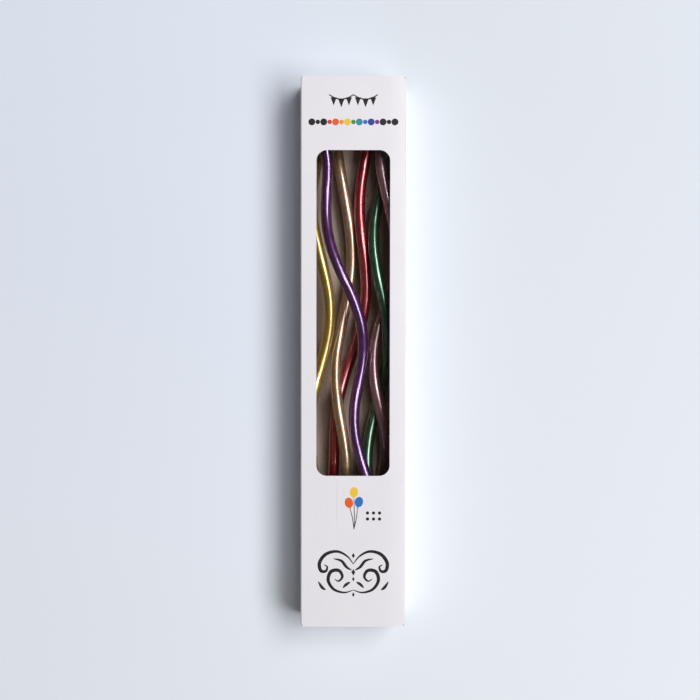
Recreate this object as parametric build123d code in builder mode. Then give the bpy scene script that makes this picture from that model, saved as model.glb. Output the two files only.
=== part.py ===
from build123d import *
import math
import os

os.makedirs("parts", exist_ok=True)

# Frame: X across the carton, +Y to its top end, +Z out of the window, back panel on the table at Z = 0

# Board and film
board = 0.4
bend_radius = 0.6
film = 0.2
film_margin = 3.0
crease_gap = 0.05
closure_gap = 0.2

# Candle wax and wick
candle_diameter = 4.3
candle_room = 0.5
turn_length = 84.0
spiral_turns = 1.5
foot_length = 8.0
foot_bend = 20.0
foot_chamfer = 0.3
tip_bend = 8.0
tip_length = 6.0
tip_draw = 0.45
tip_round = 0.8
wick_diameter = 1.2
wick_clearance = 0.02
wick_bore_depth = 5.0
wick_length = 5.0

# Room that the carton leaves round the bundle of candles
side_room = 0.4
foot_room = 29.0
tip_room = 8.0
lanes_wide = 8
lanes_deep = 4

# Window borders on the front panel
window_side_border = 6.0
window_top_border = 28.0
window_bottom_border = 58.0
window_corner = 4.0

# Closures at the two ends
lid_side_gap = 0.3
tongue_length = 10.0
tongue_side_gap = 0.8
tongue_corner = 5.0
tongue_lean = 25.0
flap_length = 11.0
flap_front_gap = 2.8
flap_back_gap = 0.3
flap_corner = 1.0
glue_flap_width = 7.0
glue_flap_taper = 6.0

# Each candle keeps to its own lane: across and up in lanes, lean, tilt and sideways bow in lanes per turn,
# spiral radius in lanes and its growth per turn, angle at mid-spiral in degrees, and its own turn as a share
# of turn_length
candles = {
    "gold": (-2.58, 2.00, 0.17, -0.95, -0.66, 0.69, 0.00, 90.3, 1.007),
    "purple": (-0.17, 2.64, -2.62, -0.07, -1.36, 0.72, 0.00, 56.4, 0.877),
    "champagne": (-0.60, 1.38, 0.30, -1.03, -1.06, 0.59, -0.34, 193.2, 1.068),
    "red": (0.37, 1.14, 1.99, 0.57, -1.35, 0.51, 0.00, 109.3, 0.944),
    "green": (2.10, 1.92, 0.67, 0.05, 0.69, 0.81, 0.00, 39.4, 1.100),
    "pink": (2.56, 1.75, 0.72, 0.76, -0.31, 0.72, 0.00, 193.0, 0.941),
}

# Sizes that follow from the ones above
lane = candle_diameter + candle_room
spiral_length = spiral_turns * turn_length
candle_length = foot_length + foot_bend + spiral_length + tip_bend + tip_length + wick_length
carton_width = lanes_wide * lane + 2 * side_room + 2 * board
carton_depth = lanes_deep * lane + 2 * board
carton_length = foot_room + candle_length + tip_room
top_edge = carton_length / 2
half_width = carton_width / 2
inner_front = carton_depth - board
flat_width = carton_width - 2 * bend_radius
inner_radius = bend_radius - board

# Creases: the lid turns in the back panel's edge, the dust flaps below the lid in the side panels' edges
lid_crease_y = top_edge - board / 2
lid_crease_z = board / 2
flap_crease_x = half_width - board / 2
flap_crease_y = lid_crease_y - board - closure_gap
tongue_crease_z = inner_front - closure_gap - board / 2
back_end = lid_crease_y - board / 2 - crease_gap
side_end = flap_crease_y - board / 2 - crease_gap

# Front panel: flat board with the window cut out
window_width = carton_width - 2 * window_side_border
window_length = carton_length - window_top_border - window_bottom_border
window_y = (window_bottom_border - window_top_border) / 2
with BuildPart() as front_panel:
    with BuildSketch(Plane.XY.offset(inner_front)):
        Rectangle(flat_width, carton_length)
        with Locations((0, window_y)):
            RectangleRounded(window_width, window_length, window_corner, mode=Mode.SUBTRACT)
    extrude(amount=board)
front_panel.part.label = "front_panel"
export_step(front_panel.part, "parts/front_panel.step")

# Back panel: plain board between the two lid creases
with BuildPart() as back_panel:
    with BuildSketch(Plane.XY):
        Rectangle(flat_width, 2 * back_end)
    extrude(amount=board)
back_panel.part.label = "back_panel"
export_step(back_panel.part, "parts/back_panel.step")

# Side panels: board with the rounded bends that meet the front and the back
with BuildPart() as left_side_panel:
    with BuildSketch(Plane.XZ):
        with Locations((0, carton_depth / 2)):
            RectangleRounded(carton_width, carton_depth, bend_radius)
            RectangleRounded(
                carton_width - 2 * board, carton_depth - 2 * board, inner_radius, mode=Mode.SUBTRACT
            )
        with Locations((-half_width + bend_radius / 2, carton_depth / 2)):
            Rectangle(bend_radius, carton_depth, mode=Mode.INTERSECT)
    extrude(amount=side_end, both=True)
left_side_panel.part.label = "left_side_panel"
export_step(left_side_panel.part, "parts/left_side_panel.step")

with BuildPart() as right_side_panel:
    add(left_side_panel.part)
    mirror(about=Plane.YZ, mode=Mode.REPLACE)
right_side_panel.part.label = "right_side_panel"
export_step(right_side_panel.part, "parts/right_side_panel.step")

# Glue flap: tapered strip on the inner face of the right side, folded up from the back
glue_z = board + inner_radius
glue_end = side_end - tongue_length
with BuildPart() as glue_flap:
    with BuildSketch(Plane.YZ.offset(half_width - 2 * board)):
        with BuildLine():
            Polyline(
                (-glue_end, glue_z),
                (glue_end, glue_z),
                (glue_end - glue_flap_taper, glue_z + glue_flap_width),
                (-glue_end + glue_flap_taper, glue_z + glue_flap_width),
                close=True,
            )
        make_face()
    extrude(amount=board)
glue_flap.part.label = "glue_flap"
export_step(glue_flap.part, "parts/glue_flap.step")

# Window film: clear sheet glued behind the window
with BuildPart() as window_film:
    with BuildSketch(Plane.XY.offset(inner_front - film)):
        with Locations((0, window_y)):
            Rectangle(window_width + 2 * film_margin, window_length + 2 * film_margin)
    extrude(amount=film)
window_film.part.label = "window_film"
export_step(window_film.part, "parts/window_film.step")

# Closures of both ends: lid, its tuck tongue and the two dust flaps
lid_width = carton_width - 2 * lid_side_gap
tongue_width = carton_width - 2 * board - 2 * tongue_side_gap
flap_back = board + flap_back_gap
flap_front = inner_front - flap_front_gap
lean = math.radians(tongue_lean)
tongue_root = board / 2 * (math.tan(lean) + 1 / math.cos(lean))
lid_height = tongue_crease_z - tongue_root - crease_gap - lid_crease_z
for end, way in (("top", 1), ("bottom", -1)):
    # Lid: its hinge edge is rounded about the crease
    with BuildPart() as lid:
        with BuildSketch(Plane.YZ):
            with Locations((way * lid_crease_y, lid_crease_z)):
                Circle(board / 2)
            with Locations((way * lid_crease_y, lid_crease_z + lid_height / 2)):
                Rectangle(board, lid_height)
        extrude(amount=lid_width / 2, both=True)
    lid.part.label = f"{end}_lid"
    export_step(lid.part, f"parts/{end}_lid.step")

    # Tuck tongue: rounded corners, tucked behind the front panel and leaning inward
    down = Vector(0, -way * math.cos(lean), -math.sin(lean))
    tongue_plane = Plane(
        origin=(0, way * lid_crease_y, tongue_crease_z), x_dir=down, z_dir=down.cross(Vector(1, 0, 0))
    )
    with BuildPart() as tongue:
        with BuildSketch(tongue_plane) as outline:
            with Locations((tongue_length / 2, 0)):
                Rectangle(tongue_length, tongue_width)
            fillet(outline.vertices().sort_by(SortBy.DISTANCE, reverse=True)[:2], tongue_corner)
        extrude(amount=board / 2, both=True)
        with BuildSketch(Plane.YZ):
            with Locations((way * lid_crease_y, tongue_crease_z)):
                Circle(board / 2)
        extrude(amount=tongue_width / 2, both=True)
    tongue.part.label = f"{end}_tuck_tongue"
    export_step(tongue.part, f"parts/{end}_tuck_tongue.step")

    # Dust flaps: cut at 45 degrees beside the lid's crease so that they swing with it
    for side, hand in (("left", -1), ("right", 1)):
        inner_edge = flap_crease_x - flap_length
        with BuildPart() as flap:
            with BuildSketch(Plane.XZ.offset(-way * flap_crease_y)) as outline:
                with BuildLine():
                    Polyline(
                        (hand * flap_crease_x, flap_back),
                        (hand * inner_edge, flap_back + flap_length),
                        (hand * inner_edge, flap_front),
                        (hand * flap_crease_x, flap_front),
                        close=True,
                    )
                make_face()
                fillet(outline.vertices().sort_by(Axis.X, reverse=hand < 0)[:2], flap_corner)
            extrude(amount=board / 2, both=True)
            with BuildSketch(Plane.XY.offset(flap_back)):
                with Locations((hand * flap_crease_x, way * flap_crease_y)):
                    Circle(board / 2)
            extrude(amount=flap_front - flap_back)
        flap.part.label = f"{end}_{side}_dust_flap"
        export_step(flap.part, f"parts/{end}_{side}_dust_flap.step")

# Candles: left-handed spirals with a straight foot and tip, on a path of tangent arcs
spiral_start = -top_edge + foot_room + foot_length + foot_bend
spiral_middle = spiral_start + spiral_length / 2
spiral_end = spiral_start + spiral_length
stations = max(2, math.ceil(4 * spiral_turns))
wick_bore = wick_diameter + 2 * wick_clearance
samples = {}
for colour, (across, up, lean_x, lean_z, bow, radius, grow, angle, turn) in candles.items():
    rate = -2 * math.pi / (turn * turn_length)

    def on_axis(y):
        turns = (y - spiral_middle) / turn_length
        return Vector(
            (across + lean_x * turns + bow * turns**2) * lane, y, board + (up + lean_z * turns) * lane
        )

    def along_axis(y):
        turns = (y - spiral_middle) / turn_length
        return Vector((lean_x + 2 * bow * turns) * lane / turn_length, 1, lean_z * lane / turn_length)

    def reach(y):
        return (radius + grow * (y - spiral_middle) / turn_length) * lane

    def swing(y):
        return math.radians(angle) + rate * (y - spiral_middle)

    def on_spiral(y):
        return on_axis(y) + Vector(math.sin(swing(y)), 0, math.cos(swing(y))) * reach(y)

    def heading(y):
        turning = Vector(math.cos(swing(y)), 0, -math.sin(swing(y))) * (reach(y) * rate)
        widening = Vector(math.sin(swing(y)), 0, math.cos(swing(y))) * (grow * lane / turn_length)
        return (along_axis(y) + turning + widening).normalized()

    # Points and headings from the foot to the tip
    foot_way = along_axis(spiral_start - foot_bend).normalized()
    foot_top = on_axis(spiral_start - foot_bend)
    foot_end = foot_top - foot_way * foot_length
    tip_way = along_axis(spiral_end + tip_bend).normalized()
    tip_side = on_spiral(spiral_end) - on_axis(spiral_end)
    tip_start = on_axis(spiral_end + tip_bend) + tip_side * tip_draw
    tip_end = tip_start + tip_way * tip_length
    route = [(foot_top, foot_way)]
    for step in range(stations + 1):
        y = spiral_start + spiral_length * step / stations
        route.append((on_spiral(y), heading(y)))
    route.append((tip_start, tip_way))

    # Wax: round section swept along pairs of arcs, with the wick's bore in the tip
    with BuildPart() as wax:
        with BuildLine() as path:
            Line(foot_end, foot_top)
            for (start, way_in), (finish, way_out) in zip(route, route[1:]):
                chord = finish - start
                a = 2 - 2 * way_in.dot(way_out)
                b = 2 * chord.dot(way_in + way_out)
                arm = 2 * chord.dot(chord) / (b + math.sqrt(b * b + 4 * a * chord.dot(chord)))
                first = start + way_in * arm
                second = finish - way_out * arm
                joint = (first + second) * 0.5
                TangentArc(start, joint, tangent=way_in)
                TangentArc(joint, finish, tangent=second - first)
            Line(tip_start, tip_end)
        with BuildSketch(Plane(origin=foot_end, z_dir=foot_way)):
            Circle(candle_diameter / 2)
        sweep()
        rims = wax.edges().filter_by(GeomType.CIRCLE).sort_by(Axis.Y)
        chamfer(rims[0], foot_chamfer)
        rims = wax.edges().filter_by(GeomType.CIRCLE).sort_by(Axis.Y)
        fillet(rims[-1], tip_round)
        with BuildSketch(Plane(origin=tip_end, z_dir=tip_way)):
            Circle(wick_bore / 2)
        extrude(amount=-wick_bore_depth, mode=Mode.SUBTRACT)
    wax.part.label = f"{colour}_candle_wax"
    export_step(wax.part, f"parts/{colour}_candle_wax.step")

    # Wick: cotton cord standing in the bore
    with BuildPart() as wick:
        with BuildSketch(Plane(origin=tip_end - tip_way * wick_bore_depth, z_dir=tip_way)):
            Circle(wick_diameter / 2)
        extrude(amount=wick_bore_depth + wick_length)
    wick.part.label = f"{colour}_candle_wick"
    export_step(wick.part, f"parts/{colour}_candle_wick.step")

    wire = path.wires()[0]
    samples[colour] = [wire.position_at(k / 100) for k in range(101)]
    length = wire.length
    solid = length * math.pi * candle_diameter**2 / 4
    print(f"{colour}: path {length:.1f} mm, wax {wax.part.volume:.1f} of {solid:.1f} mm3")

# Least room between each candle and its neighbours, the back and the front
for colour, line in samples.items():
    others = [p for other, points in samples.items() if other != colour for p in points]
    near = min((p - q).length for p in line for q in others) - candle_diameter
    low = min(p.Z for p in line) - candle_diameter / 2 - board
    high = inner_front - film - max(p.Z for p in line) - candle_diameter / 2
    wide = half_width - board - max(abs(p.X) for p in line) - candle_diameter / 2
    print(f"{colour}: neighbour {near:.2f}, back {low:.2f}, film {high:.2f}, side {wide:.2f} mm")
print(f"carton {carton_width:.1f} x {carton_depth:.1f} x {carton_length:.1f} mm")
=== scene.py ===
"""Windowed tuck-end carton with six metallic spiral candles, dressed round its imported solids."""

import logging
import math
from dataclasses import dataclass
from enum import Enum, IntEnum
from functools import cache
from typing import Callable, Sequence

import bmesh
import bpy
from mathutils import Euler, Matrix, Vector
from mathutils.geometry import tessellate_polygon


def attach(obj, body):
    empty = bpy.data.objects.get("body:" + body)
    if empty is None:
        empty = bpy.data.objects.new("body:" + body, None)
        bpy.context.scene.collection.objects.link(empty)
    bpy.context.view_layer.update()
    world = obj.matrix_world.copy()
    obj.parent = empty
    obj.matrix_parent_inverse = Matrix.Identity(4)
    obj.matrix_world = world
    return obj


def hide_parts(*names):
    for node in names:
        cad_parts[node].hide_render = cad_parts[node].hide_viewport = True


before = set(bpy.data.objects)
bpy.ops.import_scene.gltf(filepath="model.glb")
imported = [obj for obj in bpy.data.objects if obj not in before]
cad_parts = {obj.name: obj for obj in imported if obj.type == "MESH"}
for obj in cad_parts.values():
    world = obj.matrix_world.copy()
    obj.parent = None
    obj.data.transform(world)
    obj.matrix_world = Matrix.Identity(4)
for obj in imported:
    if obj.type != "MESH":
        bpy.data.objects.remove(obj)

LOG = logging.getLogger("carton")
MM = 0.001
Colour = tuple[float, float, float]
Point2 = tuple[float, float]
Node = bpy.types.Node
Socket = bpy.types.NodeSocket
Mesh = bpy.types.Mesh
FLOAT, INT, VECTOR = "NodeSocketFloat", "NodeSocketInt", "NodeSocketVector"
MATERIAL = "NodeSocketMaterial"


def srgb(red: int, green: int, blue: int) -> Colour:
    """Turn a screen colour into the linear colour that shaders take.

    Args:
        red: Red from 0 to 255.
        green: Green from 0 to 255.
        blue: Blue from 0 to 255.

    Returns:
        The colour in linear light.
    """
    parts = [value / 255 for value in (red, green, blue)]
    return tuple(p / 12.92 if p <= 0.04045 else ((p + 0.055) / 1.055) ** 2.4 for p in parts)


class Side(Enum):
    """Which way the coated face of a board piece looks at rest."""

    FRONT = (0.0, 0.0, 1.0)
    BACK = (0.0, 0.0, -1.0)
    TOP = (0.0, 1.0, 0.0)
    BOTTOM = (0.0, -1.0, 0.0)
    LEFT = (-1.0, 0.0, 0.0)
    RIGHT = (1.0, 0.0, 0.0)

    @property
    def way(self) -> Vector:
        """The direction as a vector."""
        return Vector(self.value)


class Graph:
    """Short way to add and join nodes in a tree."""

    def __init__(self, tree: bpy.types.NodeTree) -> None:
        """Keep the tree that nodes go into."""
        self.tree = tree

    def node(self, kind: str, settings: dict | None = None, **inputs) -> Node:
        """Add a node.

        Args:
            kind: Blender's name of the node type.
            settings: Node properties to set.
            **inputs: Values or output sockets for inputs, with spaces in names written as underscores.

        Returns:
            The new node.
        """
        made = self.tree.nodes.new(kind)
        for key, value in (settings or {}).items():
            setattr(made, key, value)
        for key, value in inputs.items():
            self.feed(made, key.replace("_", " "), value)
        return made

    def feed(self, made: Node, socket: str | int, value: object) -> None:
        """Set an input to a value, or join an output socket to it."""
        target = made.inputs[socket]
        if isinstance(value, Socket):
            self.tree.links.new(value, target)
        else:
            target.default_value = value

    def math(self, operation: str, *values: object) -> Socket:
        """Add a Math node.

        Args:
            operation: Blender's name of the operation.
            *values: Numbers or output sockets.

        Returns:
            The result's socket.
        """
        made = self.node("ShaderNodeMath", {"operation": operation})
        for index, value in enumerate(values):
            self.feed(made, index, value)
        return made.outputs[0]

    def blend(self, factor: object, first: object, second: object) -> Socket:
        """Mix two colours.

        Args:
            factor: Share of the second colour.
            first: First colour.
            second: Second colour.

        Returns:
            The mixed colour's socket.
        """
        made = self.node("ShaderNodeMix", {"data_type": "RGBA"})
        for index, value in ((0, factor), (6, first), (7, second)):
            self.feed(made, index, (*value, 1.0) if isinstance(value, tuple) else value)
        return made.outputs[2]

    def spread(self, value: object, low: float, high: float, to_low: float, to_high: float) -> Socket:
        """Map a range of values onto another, held at both ends."""
        made = self.node("ShaderNodeMapRange")
        for index, number in enumerate((value, low, high, to_low, to_high)):
            self.feed(made, index, number)
        return made.outputs[0]


def shader_group(name: str, inputs: dict[str, str], outputs: dict[str, str]) -> tuple[Graph, dict, dict]:
    """Start a shader node group with named sockets.

    Args:
        name: Name of the group.
        inputs: Input names with their socket types.
        outputs: Output names with their socket types.

    Returns:
        The graph, the inputs' inner sockets and the outputs' inner sockets.
    """
    tree = bpy.data.node_groups.new(name, "ShaderNodeTree")
    for label, kind in inputs.items():
        tree.interface.new_socket(label, in_out="INPUT", socket_type=kind)
    for label, kind in outputs.items():
        tree.interface.new_socket(label, in_out="OUTPUT", socket_type=kind)
    graph = Graph(tree)
    into = graph.node("NodeGroupInput")
    out = graph.node("NodeGroupOutput")
    return graph, {k: into.outputs[k] for k in inputs}, {k: out.inputs[k] for k in outputs}


@cache
def fibre_group() -> bpy.types.NodeTree:
    """Paper fibre, shared by every board face and ink.

    Returns:
        A group with a cloudy Tone and a fine Height.
    """
    graph, into, out = shader_group(
        "paper_fibre",
        {"Vector": VECTOR, "Scale": FLOAT},
        {"Tone": FLOAT, "Height": FLOAT},
    )
    cloud = graph.node("ShaderNodeTexNoise", Vector=into["Vector"], Detail=4.0, Roughness=0.55)
    graph.feed(cloud, "Scale", graph.math("MULTIPLY", into["Scale"], 0.06))
    turned = graph.node("ShaderNodeMapping", Vector=into["Vector"], Rotation=(0.2, 0.3, 0.7), Scale=(1.0, 0.22, 1.0))
    strand = graph.node("ShaderNodeTexNoise", Vector=turned.outputs[0], Scale=into["Scale"], Detail=3.0)
    speck = graph.node("ShaderNodeTexNoise", Vector=into["Vector"], Detail=2.0)
    graph.feed(speck, "Scale", graph.math("MULTIPLY", into["Scale"], 2.3))
    fine = graph.math("ADD", strand.outputs[0], graph.math("MULTIPLY", speck.outputs[0], 0.5))
    graph.tree.links.new(graph.math("MULTIPLY", fine, 0.67), out["Height"])
    mixed = graph.math("ADD", graph.math("MULTIPLY", cloud.outputs[0], 0.6), graph.math("MULTIPLY", fine, 0.27))
    graph.tree.links.new(graph.spread(mixed, 0.32, 0.68, 0.0, 1.0), out["Tone"])
    return graph.tree


@cache
def glitter_group() -> bpy.types.NodeTree:
    """Metal flakes in lacquer, shared by the six waxes.

    Returns:
        A group with a Fleck mask, a flake Height and a slow Cloud.
    """
    graph, into, out = shader_group(
        "metal_flake",
        {"Vector": VECTOR, "Scale": FLOAT},
        {"Fleck": FLOAT, "Height": FLOAT, "Cloud": FLOAT},
    )
    flake = graph.node("ShaderNodeTexVoronoi", Vector=into["Vector"], Scale=into["Scale"])
    pick = graph.node("ShaderNodeSeparateColor", Color=flake.outputs["Color"])
    graph.tree.links.new(graph.spread(pick.outputs[0], 0.72, 1.0, 0.0, 1.0), out["Fleck"])
    graph.tree.links.new(pick.outputs[1], out["Height"])
    cloud = graph.node("ShaderNodeTexNoise", Vector=into["Vector"], Detail=3.0)
    graph.feed(cloud, "Scale", graph.math("MULTIPLY", into["Scale"], 0.08))
    graph.tree.links.new(cloud.outputs[0], out["Cloud"])
    return graph.tree


@dataclass(frozen=True)
class Finish:
    """A surface finish that makes its own material once."""

    name: str

    def material(self) -> bpy.types.Material:
        """Give the finish's material, made at the first call.

        Returns:
            The material.
        """
        made = bpy.data.materials.get(self.name)
        if made:
            return made
        made = bpy.data.materials.new(self.name)
        made.use_nodes = True
        graph = Graph(made.node_tree)
        shader = made.node_tree.nodes["Principled BSDF"]
        where = graph.node("ShaderNodeTexCoord").outputs["Object"]
        self.dress(graph, shader, where)
        return made

    def dress(self, graph: Graph, shader: Node, where: Socket) -> None:
        """Add the finish's own nodes.

        Args:
            graph: The material's graph.
            shader: The Principled shader.
            where: Object coordinates.
        """
        raise NotImplementedError

    @staticmethod
    def bump(graph: Graph, shader: Node, height: Socket, strength: float, depth: float) -> None:
        """Put a height into the shader's normal.

        Args:
            graph: The material's graph.
            shader: The Principled shader.
            height: Height from 0 to 1.
            strength: Share of the effect.
            depth: Depth in metres.
        """
        made = graph.node("ShaderNodeBump", Strength=strength, Distance=depth, Height=height)
        graph.feed(shader, "Normal", made.outputs[0])


@dataclass(frozen=True)
class Board(Finish):
    """Paper board: coated white, bare grey back or cut edge."""

    light: Colour
    dark: Colour
    roughness: float
    fibre_scale: float
    relief: float
    fleck: float = 0.0
    crown: float = 0.0
    crown_from: float = 12 * MM

    def dress(self, graph: Graph, shader: Node, where: Socket) -> None:
        """Add fibre colour, gloss changes and relief."""
        fibre = graph.node("ShaderNodeGroup", {"node_tree": fibre_group()}, Vector=where, Scale=self.fibre_scale)
        colour = graph.blend(fibre.outputs["Tone"], self.light, self.dark)
        if self.fleck:
            chip = graph.node("ShaderNodeTexVoronoi", Vector=where, Scale=self.fibre_scale * 0.55)
            mask = graph.spread(chip.outputs["Distance"], 0.10, 0.22, self.fleck, 0.0)
            colour = graph.blend(mask, colour, tuple(0.4 * v for v in self.dark))
        graph.feed(shader, "Base Color", colour)
        smoothest, roughest = self.roughness - 0.04, self.roughness + 0.06
        graph.feed(shader, "Roughness", graph.spread(fibre.outputs["Tone"], 0.0, 1.0, smoothest, roughest))
        self.bump(graph, shader, fibre.outputs["Height"], 0.35, self.relief)
        if self.crown:
            across = graph.node("ShaderNodeSeparateXYZ", Vector=where).outputs[0]
            past = graph.math("MAXIMUM", graph.math("SUBTRACT", across, self.crown_from), 0.0)
            fall = graph.math("MULTIPLY", graph.math("MULTIPLY", past, past), -self.crown / MM)
            flat = shader.inputs["Normal"].links[0].from_socket
            bowed = graph.node("ShaderNodeBump", Strength=1.0, Distance=MM, Height=fall, Normal=flat)
            graph.feed(shader, "Normal", bowed.outputs[0])


@dataclass(frozen=True)
class MetallicWax(Finish):
    """Dipped wax with a metallic lacquer full of fine flakes."""

    deep: Colour
    bright: Colour
    roughness: float = 0.36
    metallic: float = 0.75
    coat_roughness: float = 0.17
    coat_ior: float = 2.2
    flake_scale: float = 5600.0

    def dress(self, graph: Graph, shader: Node, where: Socket) -> None:
        """Add flake colour, clouded gloss and relief under a clear coat."""
        flake = graph.node("ShaderNodeGroup", {"node_tree": glitter_group()}, Vector=where, Scale=self.flake_scale)
        cloudy = graph.spread(flake.outputs["Cloud"], 0.3, 0.7, 0.0, 0.25)
        share = graph.math("MAXIMUM", cloudy, graph.math("MULTIPLY", flake.outputs["Fleck"], 0.6))
        graph.feed(shader, "Base Color", graph.blend(share, self.deep, self.bright))
        smoothest, roughest = self.roughness - 0.05, self.roughness + 0.07
        graph.feed(shader, "Roughness", graph.spread(flake.outputs["Cloud"], 0.3, 0.7, smoothest, roughest))
        graph.feed(shader, "Metallic", self.metallic)
        graph.feed(shader, "Coat Weight", 1.0)
        graph.feed(shader, "Coat Roughness", self.coat_roughness)
        graph.feed(shader, "Coat IOR", self.coat_ior)
        self.bump(graph, shader, flake.outputs["Height"], 0.12, 0.00001)


@dataclass(frozen=True)
class Film(Finish):
    """Clear window film: see-through from the front, mirror-like at a low angle."""

    facing: float = 0.02
    grazing: float = 0.75

    def dress(self, graph: Graph, shader: Node, where: Socket) -> None:
        """Let the share of mirror follow the angle, a little uneven as film is."""
        edge = graph.node("ShaderNodeFresnel", IOR=1.46).outputs[0]
        wave = graph.node("ShaderNodeTexNoise", Vector=where, Scale=45.0, Detail=1.0).outputs[0]
        self.bump(graph, shader, wave, 0.10, 0.0004)
        graph.feed(shader, "Alpha", graph.spread(edge, 0.035, 1.0, self.facing, self.grazing))
        graph.feed(shader, "Roughness", graph.spread(wave, 0.3, 0.7, 0.03, 0.08))
        graph.feed(shader, "Base Color", (0.94, 0.95, 0.97, 1.0))
        graph.feed(shader, "Metallic", 1.0)


@dataclass(frozen=True)
class Cotton(Finish):
    """Bleached cotton cord."""

    def dress(self, graph: Graph, shader: Node, where: Socket) -> None:
        """Add yarn colour and relief."""
        fibre = graph.node("ShaderNodeGroup", {"node_tree": fibre_group()}, Vector=where, Scale=5200.0)
        colour = graph.blend(fibre.outputs["Tone"], (0.80, 0.77, 0.69), (0.58, 0.53, 0.45))
        graph.feed(shader, "Base Color", colour)
        graph.feed(shader, "Roughness", 0.92)
        graph.feed(shader, "Sheen Weight", 0.25)
        self.bump(graph, shader, fibre.outputs["Height"], 0.5, 0.00004)


@dataclass(frozen=True)
class Ink(Finish):
    """Offset ink on coated board."""

    colour: Colour

    def dress(self, graph: Graph, shader: Node, where: Socket) -> None:
        """Let the paper show through the ink a little."""
        fibre = graph.node("ShaderNodeGroup", {"node_tree": fibre_group()}, Vector=where, Scale=2400.0)
        thin = tuple(min(1.0, 0.92 * v + 0.012) for v in self.colour)
        graph.feed(shader, "Base Color", graph.blend(fibre.outputs["Tone"], self.colour, thin))
        graph.feed(shader, "Roughness", 0.48)
        graph.feed(shader, "Specular IOR Level", 0.3)


@dataclass(frozen=True)
class TableTop(Finish):
    """Pale matt table with painted light and shade: darker to the right, where the side lamp is nearest and the
    carton's side throws light onto it, bluer to the left, and painted lighter towards the bottom end.
    """

    right: Colour
    left: Colour
    bottom: Colour
    # The tone turns from the bluer left to the darker right just up to the carton's right side, so the strip beside it
    # gets painted shade.
    across: Point2 = (-0.05, 0.02)
    down: Point2 = (0.10, -0.14)
    # Share of the paler bottom tone, which is painted light.
    bottom_share: float = 0.7

    def dress(self, graph: Graph, shader: Node, where: Socket) -> None:
        """Blend the painted light and shade across the table and down it."""
        split = graph.node("ShaderNodeSeparateXYZ", Vector=where)
        sides = graph.blend(graph.spread(split.outputs[0], *self.across, 0.0, 1.0), self.left, self.right)
        down = graph.spread(split.outputs[1], *self.down, 0.0, self.bottom_share)
        graph.feed(shader, "Base Color", graph.blend(down, sides, self.bottom))
        graph.feed(shader, "Roughness", 0.75)
        graph.feed(shader, "Specular IOR Level", 0.15)


COAT = Board("white_coated_board", (0.91, 0.885, 0.915), (0.87, 0.845, 0.88), 0.40, 1400.0, 0.000012, crown=6.0)
# Darker copy of the white coat for the side panels: painted shade, so they don't turn pure white under the side lamp.
PAINTED_SHADE_SIDE_COAT = Board("white_coated_side", (0.765, 0.748, 0.775), (0.72, 0.704, 0.735), 0.42, 1400.0, 0.000012)
FOLD = Board("scored_fold", (0.80, 0.775, 0.79), (0.70, 0.675, 0.69), 0.55, 2000.0, 0.00002)
GREY_BACK = Board("grey_board_back", (0.60, 0.485, 0.40), (0.44, 0.345, 0.27), 0.86, 1100.0, 0.00005, fleck=0.5)
CUT_EDGE = Board("board_cut_edge", (0.66, 0.62, 0.58), (0.50, 0.46, 0.42), 0.88, 2600.0, 0.00003)
FILM = Film("clear_window_film")
COTTON = Cotton("cotton_wick")
CHARCOAL = Ink("charcoal_ink", srgb(24, 21, 26))
RAINBOW = (
    Ink("red_ink", srgb(222, 52, 44)),
    Ink("orange_ink", srgb(238, 102, 36)),
    Ink("amber_ink", srgb(245, 158, 40)),
    Ink("yellow_ink", srgb(250, 208, 62)),
    Ink("green_ink", srgb(70, 150, 66)),
    Ink("teal_ink", srgb(44, 150, 160)),
    Ink("blue_ink", srgb(44, 120, 200)),
    Ink("indigo_ink", srgb(52, 66, 160)),
    Ink("violet_ink", srgb(124, 52, 140)),
)
INKS = (CHARCOAL, *RAINBOW)
# Faint grey that paints the shade of a pressed groove in the board; it is not a printed ink.
GROOVE_SHADE_INK = Ink("pressed_line", (0.80, 0.78, 0.81))
# The table's three tones are painted light and shade on a plain pale table.
PAINTED_LIGHT_TABLE = TableTop("pale_table", (0.80, 0.85, 0.90), (0.83, 0.89, 0.99), (0.90, 0.945, 0.985))


def piece_from_mesh(name: str, mesh: Mesh) -> bpy.types.Object:
    """Put a mesh into the scene as an object at the origin.

    Args:
        name: Name of the piece.
        mesh: Its mesh, in the part's frame.

    Returns:
        The object.
    """
    mesh.name = name
    made = bpy.data.objects.new(name, mesh)
    bpy.context.scene.collection.objects.link(made)
    return made


def hand_over(piece: bpy.types.Object, body: str, slot: str, *nodes: str) -> None:
    """Let a piece ride on its body and stand for solids.

    Args:
        piece: The finished piece.
        body: Body that carries it.
        slot: Not used.
        *nodes: Solids that it stands for.
    """
    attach(piece, body)
    if nodes:
        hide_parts(*nodes)
    LOG.info("%s rides on %s with %d faces", piece.name, body, len(piece.data.polygons))


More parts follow.
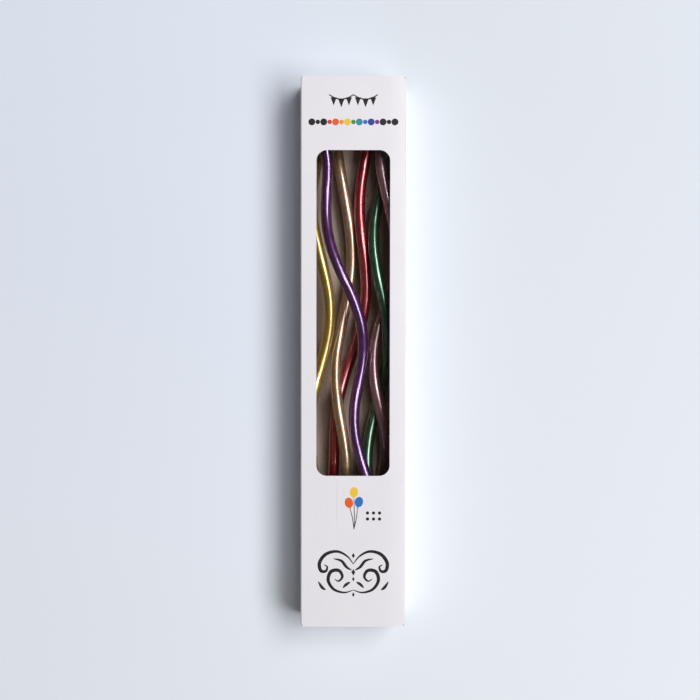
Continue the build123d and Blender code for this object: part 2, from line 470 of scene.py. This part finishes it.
class GeoTree:
    """Geometry Nodes tree with named inputs, turned into a plain mesh when run."""

    def __init__(self, name: str, inputs: dict[str, str]) -> None:
        """Make the tree.

        Args:
            name: Name of the tree.
            inputs: Input names with their socket types.
        """
        self.tree = bpy.data.node_groups.new(name, "GeometryNodeTree")
        self.tree.interface.new_socket("Geometry", in_out="INPUT", socket_type="NodeSocketGeometry")
        self.sockets = {k: self.tree.interface.new_socket(k, in_out="INPUT", socket_type=v) for k, v in inputs.items()}
        self.tree.interface.new_socket("Geometry", in_out="OUTPUT", socket_type="NodeSocketGeometry")
        self.graph = Graph(self.tree)
        self.into = self.graph.node("NodeGroupInput")
        self.out = self.graph.node("NodeGroupOutput")

    def value(self, name: str) -> Socket:
        """The inner socket of a named input."""
        return self.into.outputs[name]

    def close(self, geometry: Socket, material: Socket) -> None:
        """End the tree in Realize Instances and Set Material.

        Args:
            geometry: The last geometry.
            material: Material socket.
        """
        real = self.graph.node("GeometryNodeRealizeInstances", Geometry=geometry).outputs[0]
        done = self.graph.node("GeometryNodeSetMaterial", Geometry=real, Material=material).outputs[0]
        self.tree.links.new(done, self.out.inputs["Geometry"])

    def run(self, name: str, source: bpy.types.ID, values: dict[str, object]) -> Mesh:
        """Run the tree on a curve or mesh.

        Args:
            name: Name for the mesh.
            source: Curve or mesh data that the tree starts from.
            values: Values for the named inputs.

        Returns:
            The result as a plain mesh.
        """
        holder = bpy.data.objects.new(name + "_source", source)
        bpy.context.scene.collection.objects.link(holder)
        modifier = holder.modifiers.new("nodes", "NODES")
        modifier.node_group = self.tree
        for key, value in values.items():
            modifier[self.sockets[key].identifier] = value
        graph = bpy.context.evaluated_depsgraph_get()
        mesh = bpy.data.meshes.new_from_object(holder.evaluated_get(graph), depsgraph=graph)
        holder.modifiers.remove(modifier)
        bpy.data.objects.remove(holder)
        return mesh


class Face(IntEnum):
    """Kinds of board face, in the order of their materials."""

    COATED = 0
    BARE = 1
    CUT = 2
    FOLDED = 3
    SIDE = 4


@dataclass
class BoardPiece:
    """One panel or flap of the carton: white outside, grey inside, bare at its cut edges."""

    node: str
    body: str
    side: Side
    rolled: bool = False
    sink: float = 0.01 * MM
    depth: float = 20 * MM
    end_slope: float = 0.7
    flat_slope: float = 0.97
    face_slope: float = 0.35

    def finish_of(self, centre: Vector, normal: Vector) -> Face:
        """Choose a face's finish.

        Args:
            centre: Middle of the face.
            normal: Its outward normal.

        Returns:
            The kind of face.
        """
        if self.rolled:
            if abs(normal.y) > self.end_slope:
                return Face.CUT
            out = Vector((centre.x, 0.0, 2 * (centre.z - self.depth / 2)))
            if normal.dot(out) < 0:
                return Face.BARE
            if abs(normal.x) > self.flat_slope:
                return Face.SIDE
            return Face.FOLDED if abs(normal.z) < self.flat_slope else Face.COATED
        facing = normal.dot(self.side.way)
        if facing > self.face_slope:
            return Face.COATED
        return Face.BARE if facing < -self.face_slope else Face.CUT

    def build(self) -> None:
        """Copy the solid's shape and give each face its finish."""
        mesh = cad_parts[self.node].data.copy()
        shape = bmesh.new()
        shape.from_mesh(mesh)
        bmesh.ops.remove_doubles(shape, verts=shape.verts, dist=0.001 * MM)
        bmesh.ops.dissolve_limit(shape, angle_limit=0.002, verts=shape.verts, edges=shape.edges)
        bmesh.ops.triangulate(shape, faces=[f for f in shape.faces if len(f.verts) > 4])
        shape.normal_update()
        for face in shape.faces:
            face.material_index = self.finish_of(face.calc_center_median(), face.normal)
        if self.side is Side.FRONT and not self.rolled and self.body == "carton":
            for vert in shape.verts:
                vert.co.z = min(vert.co.z, self.depth - self.sink)
        mesh.materials.clear()
        for finish in (COAT, GREY_BACK, CUT_EDGE, FOLD, PAINTED_SHADE_SIDE_COAT):
            mesh.materials.append(finish.material())
        shape.to_mesh(mesh)
        shape.free()
        mesh.shade_smooth()
        mesh.set_sharp_from_angle(angle=math.radians(35))
        piece = piece_from_mesh(self.node + "_board", mesh)
        hand_over(piece, self.body, "coated_board", self.node)


class Carton:
    """The fixed sleeve with its film, and the closures of both ends."""

    def build(self) -> None:
        """Dress every board piece and the film."""
        for node, side, rolled in (
            ("front_panel", Side.FRONT, False),
            ("back_panel", Side.BACK, False),
            ("left_side_panel", Side.LEFT, True),
            ("right_side_panel", Side.RIGHT, True),
            ("glue_flap", Side.RIGHT, False),
        ):
            BoardPiece(node, "carton", side, rolled).build()
        for end, side in (("top", Side.TOP), ("bottom", Side.BOTTOM)):
            BoardPiece(f"{end}_lid", f"{end}_lid", side).build()
            BoardPiece(f"{end}_tuck_tongue", f"{end}_tuck_tongue", Side.FRONT).build()
            for hand in ("left", "right"):
                BoardPiece(f"{end}_{hand}_dust_flap", f"{end}_{hand}_dust_flap", side).build()
        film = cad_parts["window_film"]
        film.data.materials.clear()
        film.data.materials.append(FILM.material())
        LOG.info("window film dressed")


@dataclass(frozen=True)
class SpiralShape:
    """Place and shape of one spiral, in lanes of the bundle, turns and degrees."""

    across: float
    up: float
    lean: float
    tilt: float
    bow: float
    radius: float
    grow: float
    angle: float
    turn: float


class Candle(Enum):
    """The six candles with their shapes and lacquers."""

    GOLD = (
        SpiralShape(-2.58, 2.00, 0.17, -0.95, -0.66, 0.69, 0.00, 90.3, 1.007),
        MetallicWax("gold_lacquer", srgb(190, 156, 46), srgb(240, 220, 130)),
    )
    PURPLE = (
        SpiralShape(-0.17, 2.64, -2.62, -0.07, -1.36, 0.72, 0.00, 56.4, 0.877),
        MetallicWax("purple_lacquer", srgb(92, 30, 108), srgb(154, 96, 174)),
    )
    CHAMPAGNE = (
        SpiralShape(-0.60, 1.38, 0.30, -1.03, -1.06, 0.59, -0.34, 193.2, 1.068),
        MetallicWax("champagne_lacquer", srgb(178, 136, 98), srgb(236, 210, 176)),
    )
    RED = (
        SpiralShape(0.37, 1.14, 1.99, 0.57, -1.35, 0.51, 0.00, 109.3, 0.944),
        MetallicWax("red_lacquer", srgb(166, 8, 32), srgb(220, 62, 84)),
    )
    GREEN = (
        SpiralShape(2.10, 1.92, 0.67, 0.05, 0.69, 0.81, 0.00, 39.4, 1.100),
        MetallicWax("green_lacquer", srgb(18, 92, 52), srgb(74, 150, 104)),
    )
    PINK = (
        SpiralShape(2.56, 1.75, 0.72, 0.76, -0.31, 0.72, 0.00, 193.0, 0.941),
        MetallicWax("mauve_lacquer", srgb(160, 112, 120), srgb(220, 186, 190)),
    )

    @property
    def shape(self) -> SpiralShape:
        """The spiral's place and shape."""
        return self.value[0]

    @property
    def wax(self) -> MetallicWax:
        """The candle's lacquer."""
        return self.value[1]

    @property
    def word(self) -> str:
        """The colour word that names its solids."""
        return self.name.lower()


@cache
def wax_tree() -> GeoTree:
    """Tree that sweeps a round section along a candle's line.

    Returns:
        The tree, made at the first call.
    """
    made = GeoTree("swept_wax", {"Diameter": FLOAT, "Sides": INT, "Ripple": FLOAT, "Lacquer": MATERIAL})
    graph = made.graph
    ring = graph.node("GeometryNodeCurvePrimitiveCircle", Resolution=made.value("Sides"))
    graph.feed(ring, "Radius", graph.math("MULTIPLY", made.value("Diameter"), 0.5))
    tube = graph.node(
        "GeometryNodeCurveToMesh",
        Curve=made.into.outputs["Geometry"],
        Profile_Curve=ring.outputs[0],
        Scale=graph.node("GeometryNodeInputRadius").outputs[0],
        Fill_Caps=True,
    )
    noise = graph.node("ShaderNodeTexNoise", Scale=260.0, Detail=1.0)
    where = graph.node("GeometryNodeInputPosition")
    graph.feed(noise, "Vector", where.outputs[0])
    push = graph.math("MULTIPLY", graph.math("ADD", noise.outputs[0], -1.0), made.value("Ripple"))
    shift = graph.node("ShaderNodeVectorMath", {"operation": "SCALE"})
    graph.feed(shift, 0, graph.node("GeometryNodeInputNormal").outputs[0])
    graph.feed(shift, "Scale", push)
    moved = graph.node("GeometryNodeSetPosition", Geometry=tube.outputs[0], Offset=shift.outputs[0])
    smooth = graph.node("GeometryNodeSetShadeSmooth", Geometry=moved.outputs[0])
    made.close(smooth.outputs[0], made.value("Lacquer"))
    return made


@cache
def wick_tree() -> GeoTree:
    """Tree that twists strands of cotton about a straight line.

    Returns:
        The tree, made at the first call.
    """
    made = GeoTree("twisted_wick", {"Diameter": FLOAT, "Strands": INT, "Twist": FLOAT, "Yarn": MATERIAL})
    graph = made.graph
    share = graph.node("GeometryNodeSplineParameter").outputs["Factor"]
    turn = graph.math("MULTIPLY", share, made.value("Twist"))
    reach = graph.math("MULTIPLY", made.value("Diameter"), 0.24)
    offset = graph.node("ShaderNodeCombineXYZ")
    graph.feed(offset, 0, graph.math("MULTIPLY", graph.math("COSINE", turn), reach))
    graph.feed(offset, 1, graph.math("MULTIPLY", graph.math("SINE", turn), reach))
    line = graph.node(
        "GeometryNodeSetPosition", Geometry=made.into.outputs["Geometry"], Offset=offset.outputs[0]
    )
    ring = graph.node("GeometryNodeCurvePrimitiveCircle", Resolution=10)
    graph.feed(ring, "Radius", graph.math("MULTIPLY", made.value("Diameter"), 0.26))
    strand = graph.node(
        "GeometryNodeCurveToMesh", Curve=line.outputs[0], Profile_Curve=ring.outputs[0], Fill_Caps=True
    )
    spots = graph.node("GeometryNodeMeshLine", Count=made.value("Strands"), Offset=(0.0, 0.0, 0.0))
    turned = graph.node("ShaderNodeCombineXYZ")
    step = graph.math("DIVIDE", 2 * math.pi, made.value("Strands"))
    graph.feed(turned, 2, graph.math("MULTIPLY", graph.node("GeometryNodeInputIndex").outputs[0], step))
    copies = graph.node(
        "GeometryNodeInstanceOnPoints",
        Points=spots.outputs[0],
        Instance=graph.node("GeometryNodeSetShadeSmooth", Geometry=strand.outputs[0]).outputs[0],
        Rotation=turned.outputs[0],
    )
    made.close(copies.outputs[0], made.value("Yarn"))
    return made


@dataclass
class CandleBundle:
    """The candles as swept tubes with a straight foot, one and a half turns and a tip with its wick."""

    diameter: float = 4.3
    lane: float = 4.8
    board: float = 0.4
    turn_length: float = 84.0
    spiral_start: float = -48.0
    spiral_length: float = 126.0
    foot_length: float = 8.0
    foot_bend: float = 20.0
    foot_chamfer: float = 0.3
    tip_bend: float = 8.0
    tip_length: float = 6.0
    tip_draw: float = 0.45
    tip_round: float = 0.8
    wick_diameter: float = 1.2
    wick_depth: float = 5.0
    wick_length: float = 5.0
    ripple: float = 0.05
    twist: float = 16.0
    strands: int = 3
    sides: int = 40
    quarter_turns: int = 6
    foot_steps: int = 8
    arc_steps: int = 12
    tip_steps: int = 6
    wick_steps: int = 40


    @staticmethod
    def arc(start: Vector, heading: Vector, end: Vector, count: int) -> list[Vector]:
        """Points along the arc that leaves start along heading and ends at end.

        Args:
            start: First point.
            heading: Direction at the first point.
            end: Last point.
            count: How many points, without the first.

        Returns:
            The points after start.
        """
        chord = end - start
        side = chord - heading * chord.dot(heading)
        if side.length < 1e-6:
            return [start + chord * (k / count) for k in range(1, count + 1)]
        radius = chord.length_squared / (2 * side.length)
        sweep = 2 * math.atan2(side.length, chord.dot(heading))
        inward = side.normalized()
        angles = [sweep * k / count for k in range(1, count + 1)]
        return [start + heading * (radius * math.sin(a)) + inward * (radius * (1 - math.cos(a))) for a in angles]

    def line(self, shape: SpiralShape) -> tuple[list[Vector], Vector, Vector]:
        """The candle's centre line in millimetres.

        Args:
            shape: The spiral's place and shape.

        Returns:
            The points from the foot to the tip, the tip's end and the direction there.
        """
        middle_y = self.spiral_start + self.spiral_length / 2
        end_y = self.spiral_start + self.spiral_length
        rate = -2 * math.pi / (shape.turn * self.turn_length)

        def axis(y: float) -> Vector:
            """Point of the axis at y."""
            turns = (y - middle_y) / self.turn_length
            across = shape.across + shape.lean * turns + shape.bow * turns**2
            return Vector((across * self.lane, y, self.board + (shape.up + shape.tilt * turns) * self.lane))

        def along(y: float) -> Vector:
            """Direction of the axis at y."""
            steep = self.lane / self.turn_length
            bent = shape.lean + 2 * shape.bow * (y - middle_y) / self.turn_length
            return Vector((bent * steep, 1.0, shape.tilt * steep))

        def reach(y: float) -> float:
            """Distance from the axis at y."""
            return (shape.radius + shape.grow * (y - middle_y) / self.turn_length) * self.lane

        def swing(y: float) -> float:
            """Angle round the axis at y."""
            return math.radians(shape.angle) + rate * (y - middle_y)

        def spiral(y: float) -> Vector:
            """Point of the spiral at y."""
            return axis(y) + Vector((math.sin(swing(y)), 0.0, math.cos(swing(y)))) * reach(y)

        def heading(y: float) -> Vector:
            """Direction of the spiral at y."""
            turning = Vector((math.cos(swing(y)), 0.0, -math.sin(swing(y)))) * (reach(y) * rate)
            outward = Vector((math.sin(swing(y)), 0.0, math.cos(swing(y))))
            widening = outward * (shape.grow * self.lane / self.turn_length)
            return (along(y) + turning + widening).normalized()

        foot_way = along(self.spiral_start - self.foot_bend).normalized()
        tip_way = along(end_y + self.tip_bend).normalized()
        foot_top = axis(self.spiral_start - self.foot_bend)
        tip_start = axis(end_y + self.tip_bend) + (spiral(end_y) - axis(end_y)) * self.tip_draw
        tip_end = tip_start + tip_way * self.tip_length
        route = [(foot_top, foot_way)]
        for step in range(self.quarter_turns + 1):
            y = self.spiral_start + self.spiral_length * step / self.quarter_turns
            route.append((spiral(y), heading(y)))
        route.append((tip_start, tip_way))
        foot = [self.foot_length * (1 - k / self.foot_steps) for k in range(self.foot_steps + 1)]
        points = [foot_top - foot_way * rest for rest in foot]
        for (start, way_in), (finish, way_out) in zip(route, route[1:]):
            chord = finish - start
            a = 2 - 2 * way_in.dot(way_out)
            b = 2 * chord.dot(way_in + way_out)
            arm = 2 * chord.dot(chord) / (b + math.sqrt(b * b + 4 * a * chord.dot(chord)))
            first, second = start + way_in * arm, finish - way_out * arm
            joint = (first + second) * 0.5
            points += self.arc(start, way_in, joint, self.arc_steps)
            points += self.arc(joint, (second - first).normalized(), finish, self.arc_steps)
        tip = [self.tip_length * k / self.tip_steps for k in range(1, self.tip_steps + 1)]
        points += [tip_start + tip_way * far for far in tip]
        return points, tip_end, tip_way

    def rounded(self, points: list[Vector]) -> tuple[list[Vector], list[float]]:
        """Add the foot's chamfer and the tip's round to a line.

        Args:
            points: The line.

        Returns:
            The points and each point's share of the full radius.
        """
        full = self.diameter / 2
        foot_way = (points[1] - points[0]).normalized()
        tip_way = (points[-1] - points[-2]).normalized()
        foot = [points[0], points[0] + foot_way * self.foot_chamfer]
        foot_sizes = [1 - self.foot_chamfer / full, 1.0]
        steps = [math.radians(a) for a in (0, 22, 45, 66, 84)]
        base = points[-1] - tip_way * self.tip_round
        tip = [base + tip_way * (self.tip_round * math.sin(a)) for a in steps]
        tip_sizes = [1 - self.tip_round * (1 - math.cos(a)) / full for a in steps]
        body = points[1:-2]
        return foot + body + tip, foot_sizes + [1.0] * len(body) + tip_sizes

    @staticmethod
    def curve(name: str, points: Sequence[Vector], sizes: Sequence[float]) -> bpy.types.Curve:
        """Make a poly curve from points.

        Args:
            name: Name of the curve.
            points: Points in metres.
            sizes: Radius share at each point.

        Returns:
            The curve.
        """
        made = bpy.data.curves.new(name, "CURVE")
        made.dimensions = "3D"
        spline = made.splines.new("POLY")
        spline.points.add(len(points) - 1)
        for point, place, size in zip(spline.points, points, sizes):
            point.co = (*place, 1.0)
            point.radius = size
        return made

    def build_one(self, candle: Candle) -> None:
        """Sweep one candle's wax and twist its wick.

        Args:
            candle: Which candle.
        """
        points, tip_end, tip_way = self.line(candle.shape)
        places, sizes = self.rounded(points)
        body = f"{candle.word}_candle"
        source = self.curve(body, [p * MM for p in places], sizes)
        mesh = wax_tree().run(
            body,
            source,
            {
                "Diameter": self.diameter * MM,
                "Sides": self.sides,
                "Ripple": self.ripple * MM,
                "Lacquer": candle.wax.material(),
            },
        )
        wax = piece_from_mesh(f"{body}_lacquered_wax", mesh)
        hand_over(wax, body, f"{candle.word}_wax", f"{body}_wax")

        height = (self.wick_depth + self.wick_length) * MM
        stand = [Vector((0, 0, height * k / self.wick_steps)) for k in range(self.wick_steps + 1)]
        source = self.curve(body + "_yarn", stand, [1.0] * len(stand))
        mesh = wick_tree().run(
            body + "_yarn",
            source,
            {
                "Diameter": self.wick_diameter * MM,
                "Strands": self.strands,
                "Twist": self.twist,
                "Yarn": COTTON.material(),
            },
        )
        foot = (tip_end - tip_way * self.wick_depth) * MM
        mesh.transform(Matrix.Translation(foot) @ tip_way.to_track_quat("Z", "Y").to_matrix().to_4x4())
        wick = piece_from_mesh(f"{body}_twisted_wick", mesh)
        hand_over(wick, body, "cotton_wick", f"{body}_wick")

    def build(self) -> None:
        """Build all six candles."""
        for candle in Candle:
            self.build_one(candle)


@cache
def spot_tree() -> GeoTree:
    """Tree that puts a motif on points, each with its own ink, size and turn.

    Returns:
        The tree, made at the first call.
    """
    made = GeoTree(
        "printed_motifs",
        {"Motif": "NodeSocketObject", **{f"Ink {k}": MATERIAL for k in range(len(INKS))}},
    )
    graph = made.graph
    motif = graph.node("GeometryNodeObjectInfo", Object=made.value("Motif"))
    size = graph.node("GeometryNodeInputNamedAttribute", Name="size").outputs[0]
    turn = graph.node("ShaderNodeCombineXYZ")
    graph.feed(turn, 2, graph.node("GeometryNodeInputNamedAttribute", Name="turn").outputs[0])
    copies = graph.node(
        "GeometryNodeInstanceOnPoints",
        Points=made.into.outputs["Geometry"],
        Instance=motif.outputs["Geometry"],
        Rotation=turn.outputs[0],
        Scale=size,
    )
    last = graph.node("GeometryNodeRealizeInstances", Geometry=copies.outputs[0]).outputs[0]
    which = graph.node("GeometryNodeInputNamedAttribute", Name="ink").outputs[0]
    same = {"data_type": "FLOAT", "operation": "EQUAL"}
    for k in range(len(INKS)):
        chosen = graph.node("FunctionNodeCompare", same, A=which, B=float(k), Epsilon=0.1)
        last = graph.node(
            "GeometryNodeSetMaterial", Geometry=last, Selection=chosen.outputs[0], Material=made.value(f"Ink {k}")
        ).outputs[0]
    made.tree.links.new(last, made.out.inputs["Geometry"])
    return made


@dataclass
class FrontPrint:
    """Plain party print on the front panel: pennants, dots, balloons and a scroll."""

    face: float = 19.999
    film: float = 0.008
    swag_half: float = 4.6
    swag_top: float = 97.9
    swag_dip: float = 1.7
    cord: Point2 = (0.0, 96.0)
    dots_y: float = 87.6
    dot_pitch: float = 2.25
    bunch: Point2 = (0.4, -62.3)
    pips: Point2 = (5.6, -61.2)
    pip_pitch: float = 2.3
    scroll: Point2 = (0.2, -84.2)
    # Middle of the painted shade of a pressed groove.
    press_mark: Point2 = (-6.1, -58.0)
    stroke_steps: int = 10


    def flat(self, outlines: Sequence[Sequence[Point2]]) -> Mesh:
        """Make flat thin shapes from outlines in millimetres.

        Args:
            outlines: Closed outlines, each a shape of its own.

        Returns:
            A closed mesh about the origin, one ink film thick.
        """
        shape = bmesh.new()
        for outline in outlines:
            low = [shape.verts.new((x * MM, y * MM, -self.film * MM)) for x, y in outline]
            high = [shape.verts.new((x * MM, y * MM, 0.0)) for x, y in outline]
            for a, b, c in tessellate_polygon([[Vector((x, y, 0.0)) for x, y in outline]]):
                shape.faces.new((high[a], high[b], high[c]))
                shape.faces.new((low[c], low[b], low[a]))
            for k in range(len(outline)):
                n = (k + 1) % len(outline)
                shape.faces.new((low[k], low[n], high[n], high[k]))
        bmesh.ops.recalc_face_normals(shape, faces=shape.faces)
        mesh = bpy.data.meshes.new("flat_motif")
        shape.to_mesh(mesh)
        shape.free()
        return mesh

    def spots(
        self, name: str, motif: Sequence[Point2], places: Sequence[tuple[float, float, int, float, float]]
    ) -> None:
        """Print a motif at several places.

        Args:
            name: Name of the piece.
            motif: Outline of the motif in millimetres.
            places: X, Y, number in INKS, size and turn in degrees of each copy.
        """
        spots = bpy.data.meshes.new(name + "_spots")
        spots.from_pydata([(x * MM, y * MM, self.face * MM) for x, y, *_ in places], [], [])
        for label, column, convert in (("ink", 2, float), ("size", 3, float), ("turn", 4, math.radians)):
            values = spots.attributes.new(label, "FLOAT", "POINT")
            for item, place in zip(values.data, places):
                item.value = convert(place[column])
        holder = bpy.data.objects.new(name + "_motif", self.flat([motif]))
        bpy.context.scene.collection.objects.link(holder)
        inks = {f"Ink {k}": ink.material() for k, ink in enumerate(INKS)}
        mesh = spot_tree().run(name, spots, {"Motif": holder, **inks})
        bpy.data.objects.remove(holder)
        piece = piece_from_mesh(name, mesh)
        hand_over(piece, "carton", "coated_board")

    def stroke(self, points: Sequence[Point2], thin: float, thick: float) -> list[Point2]:
        """Outline of a pen stroke that swells in the middle.

        Args:
            points: Points that the stroke passes through.
            thin: Width at its ends.
            thick: Width at its middle.

        Returns:
            The closed outline.
        """
        ends = [points[0], *points, points[-1]]
        line = []
        for p0, p1, p2, p3 in zip(ends, ends[1:], ends[2:], ends[3:]):
            for k in range(self.stroke_steps):
                t = k / self.stroke_steps
                place = []
                for a, b, c, d in zip(p0, p1, p2, p3):
                    square, cube = 2 * a - 5 * b + 4 * c - d, 3 * b - a - 3 * c + d
                    place.append(0.5 * (2 * b + (c - a) * t + square * t * t + cube * t**3))
                line.append(tuple(place))
        line.append(tuple(points[-1]))
        left, right = [], []
        for k, (x, y) in enumerate(line):
            before, after = line[max(k - 1, 0)], line[min(k + 1, len(line) - 1)]
            dx, dy = after[0] - before[0], after[1] - before[1]
            size = math.hypot(dx, dy) or 1.0
            half = 0.5 * (thin + (thick - thin) * math.sin(math.pi * k / (len(line) - 1)))
            left.append((x - dy / size * half, y + dx / size * half))
            right.append((x + dy / size * half, y - dx / size * half))
        return left + right[::-1]

    def strokes(self, name: str, outlines: Sequence[Sequence[Point2]], place: Point2, ink: Ink) -> None:
        """Print pen strokes.

        Args:
            name: Name of the piece.
            outlines: Closed outlines in millimetres.
            place: Their middle on the panel.
            ink: Ink of the strokes.
        """
        mesh = self.flat(outlines)
        mesh.transform(Matrix.Translation(Vector((*place, self.face)) * MM))
        mesh.materials.append(ink.material())
        piece = piece_from_mesh(name, mesh)
        hand_over(piece, "carton", "coated_board")

    @staticmethod
    def ring(wide: float, tall: float, count: int = 28) -> list[Point2]:
        """Outline of an ellipse."""
        turns = [2 * math.pi * k / count for k in range(count)]
        return [(wide * math.cos(t), tall * math.sin(t)) for t in turns]

    def print_pennants(self) -> None:
        """Hang three pennants on each of two swags of cord."""

        def hang(x: float) -> float:
            """Height of a swag at x from its middle."""
            return self.swag_top - self.swag_dip * (1 - (x / self.swag_half) ** 2)

        hung = []
        cords = []
        for middle in (-self.swag_half, self.swag_half):
            stops = (-self.swag_half, -3.1, -1.5, 0.0, 1.5, 3.1, self.swag_half)
            cords.append(self.stroke([(middle + x, hang(x) - self.cord[1]) for x in stops], 0.4, 0.5))
            hung += [(middle + x, hang(x), 0, 1.0, 0.0) for x in (-2.9, 0.0, 2.9)]
        self.spots("printed_pennants", [(-1.15, 0.0), (1.15, 0.0), (0.0, -3.1)], hung)
        self.strokes("printed_cord", cords, self.cord, CHARCOAL)

    def print_dots(self) -> None:
        """Print a row of large and small dots, coloured in its middle."""
        row = []
        for k in range(-7, 8):
            ink = k + 5 if abs(k) <= 4 else 0
            row.append((self.dot_pitch * k, self.dots_y, ink, 1.3 if k % 2 else 0.85, 0.0))
        self.spots("printed_dots", self.ring(1.0, 1.0), row)

    def print_balloons(self) -> None:
        """Print three balloons on strings, with six pips beside them."""
        balloon = self.ring(1.6, 2.0)
        knot = balloon.index(min(balloon, key=lambda p: p[1]))
        balloon[knot : knot + 1] = [(-0.12, -2.0), (-0.38, -2.55), (0.38, -2.55), (0.12, -2.0)]
        trio = [(-1.5, -57.3, 2, 1.0, 12.0), (2.3, -57.0, 7, 1.0, -12.0), (0.4, -53.3, 4, 1.0, 0.0)]
        self.spots("printed_balloons", balloon, trio)
        tails = []
        for x, y in ((-1.38, 2.5), (1.38, 2.8), (0.0, 6.45)):
            tails.append(self.stroke([(x, y), (0.5 * x + 0.2, -1.2), (0.0, -5.2)], 0.2, 0.3))
        self.strokes("printed_balloon_strings", tails, self.bunch, CHARCOAL)
        x, y = self.pips
        pips = [(x + self.pip_pitch * i, y - self.pip_pitch * j, 0, 0.62, 0.0) for i in range(3) for j in range(2)]
        self.spots("printed_pips", self.ring(1.0, 1.0), pips)

    def print_scroll(self) -> None:
        """Print a scroll of mirrored pen strokes."""
        lower = [(0.0, -6.6), (3.4, -7.6), (7.4, -6.4), (9.6, -3.0), (8.6, 0.4)]
        lower_curl = [(5.6, 0.9), (4.2, -1.4), (5.6, -3.2), (7.2, -2.4)]
        upper = [(0.0, 3.4), (2.4, 6.4), (6.2, 8.2), (10.4, 7.2), (12.9, 4.0)]
        upper_curl = [(12.5, 0.9), (10.6, 0.6), (10.0, 2.3), (11.2, 3.1)]
        sprigs = (
            [(0.6, 1.0), (2.6, 2.2), (4.6, 4.6), (7.6, 5.4)],
            [(1.2, -3.6), (2.6, -4.4), (4.0, -5.8)],
            [(10.6, -6.6), (12.0, -5.6), (13.4, -3.4)],
        )
        half = [(lower + lower_curl, 1.35), (upper + upper_curl, 1.35), *((sprig, 1.1) for sprig in sprigs)]
        scrolls = []
        for points, wide in half:
            for hand in (1, -1):
                scrolls.append(self.stroke([(hand * x, y) for x, y in points], 0.22, wide))
        self.strokes("printed_scroll", scrolls, self.scroll, CHARCOAL)

    def print_marks(self) -> None:
        """Print the faint grey line beside the balloons, which is painted shade of a pressed groove, and the drops
        along the scroll's middle.
        """
        # The grey stroke is painted shade of a pressed groove.
        mark = self.stroke([(0.0, 10.0), (0.02, 0.0), (0.0, -10.0)], 0.1, 0.3)
        self.strokes("press_mark", [mark], self.press_mark, GROOVE_SHADE_INK)
        sizes = ((-77.6, 0.8), (-84.0, 1.0), (-86.6, 0.7), (-92.6, 0.7))
        drops = [(self.scroll[0], y, 0, size, 0.0) for y, size in sizes]
        self.spots("printed_drops", [(0.0, 1.3), (0.75, 0.0), (0.0, -1.3), (-0.75, 0.0)], drops)

    def build(self) -> None:
        """Print all the motifs."""
        self.print_pennants()
        self.print_dots()
        self.print_balloons()
        self.print_scroll()
        self.print_marks()


@dataclass
class Studio:
    """Table, soft side light, dim surroundings and the camera overhead."""

    lamp_height: float = 1.80
    lamp_across: float = 1.14
    lamp_along: float = 0.22
    lamp_long: float = 2.40
    lamp_wide: float = 0.95
    lamp_power: float = 48.5
    lamp_tint: Colour = (0.98, 0.985, 1.0)
    fill_place: tuple[float, float, float] = (0.33, 0.34, 1.70)
    fill_size: float = 0.34
    fill_power: float = 2.8
    sky_rim: Colour = (0.80, 0.82, 0.86)
    sky_low: Colour = (0.085, 0.072, 0.07)
    sky_top: Colour = (0.035, 0.03, 0.028)
    table_half: float = 2.0
    lens: float = 58.58
    camera_place: tuple[float, float, float] = (-0.00119, 0.01219, 0.45377)
    camera_turn: tuple[float, float, float] = (-1.461, 0.0, 0.075)

    def build_table(self) -> None:
        """Lay the table top."""
        mesh = bpy.data.meshes.new("table_top")
        far = self.table_half
        mesh.from_pydata([(-far, -far, 0), (far, -far, 0), (far, far, 0), (-far, far, 0)], [], [(0, 1, 2, 3)])
        mesh.materials.append(PAINTED_LIGHT_TABLE.material())
        piece_from_mesh("table_top", mesh)

    def build_light(self) -> None:
        """Hang the side light and the fill light, and set the surroundings."""
        side_place = (self.lamp_across, self.lamp_along, self.lamp_height)
        for name, place, wide, tall, power in (
            ("side_light", side_place, self.lamp_long, self.lamp_wide, self.lamp_power),
            ("fill_light", self.fill_place, self.fill_size, self.fill_size, self.fill_power),
        ):
            lamp = bpy.data.lights.new(name, "AREA")
            lamp.shape = "RECTANGLE"
            lamp.size = wide
            lamp.size_y = tall
            lamp.energy = power
            lamp.color = self.lamp_tint
            holder = bpy.data.objects.new(name, lamp)
            holder.location = place
            holder.rotation_euler = Vector(place).to_track_quat("Z", "Y").to_euler()
            bpy.context.scene.collection.objects.link(holder)

        world = bpy.data.worlds.new("surroundings")
        world.use_nodes = True
        bpy.context.scene.world = world
        graph = Graph(world.node_tree)
        sky = world.node_tree.nodes["Background"]
        way = graph.node("ShaderNodeTexCoord").outputs["Generated"]
        height = graph.node("ShaderNodeSeparateXYZ", Vector=way).outputs[2]
        low = graph.blend(graph.spread(height, 0.04, 0.3, 0.0, 1.0), self.sky_rim, self.sky_low)
        graph.feed(sky, "Color", graph.blend(graph.spread(height, 0.45, 0.85, 0.0, 1.0), low, self.sky_top))
        sky.inputs["Strength"].default_value = 1.0

    def build_camera(self) -> None:
        """Set the overhead camera."""
        eye = bpy.data.cameras.new("overhead")
        eye.lens = self.lens
        eye.sensor_width = 36.0
        eye.clip_start = 0.01
        holder = bpy.data.objects.new("overhead", eye)
        holder.location = self.camera_place
        holder.rotation_euler = Euler([math.radians(a) for a in self.camera_turn], "XYZ")
        bpy.context.scene.collection.objects.link(holder)
        bpy.context.scene.camera = holder

    def build(self) -> None:
        """Build the whole studio."""
        self.build_table()
        self.build_light()
        self.build_camera()
        bpy.context.scene.view_settings.view_transform = "Standard"


def main() -> None:
    """Build the carton, its candles, its print and the studio."""
    logging.basicConfig(level=logging.INFO, format="%(name)s: %(message)s")
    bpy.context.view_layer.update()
    builders: tuple[Callable[[], None], ...] = (
        Carton().build,
        CandleBundle().build,
        FrontPrint().build,
        Studio().build,
    )
    for build in builders:
        build()
    bpy.context.view_layer.update()


if __name__ == "__main__":
    main()
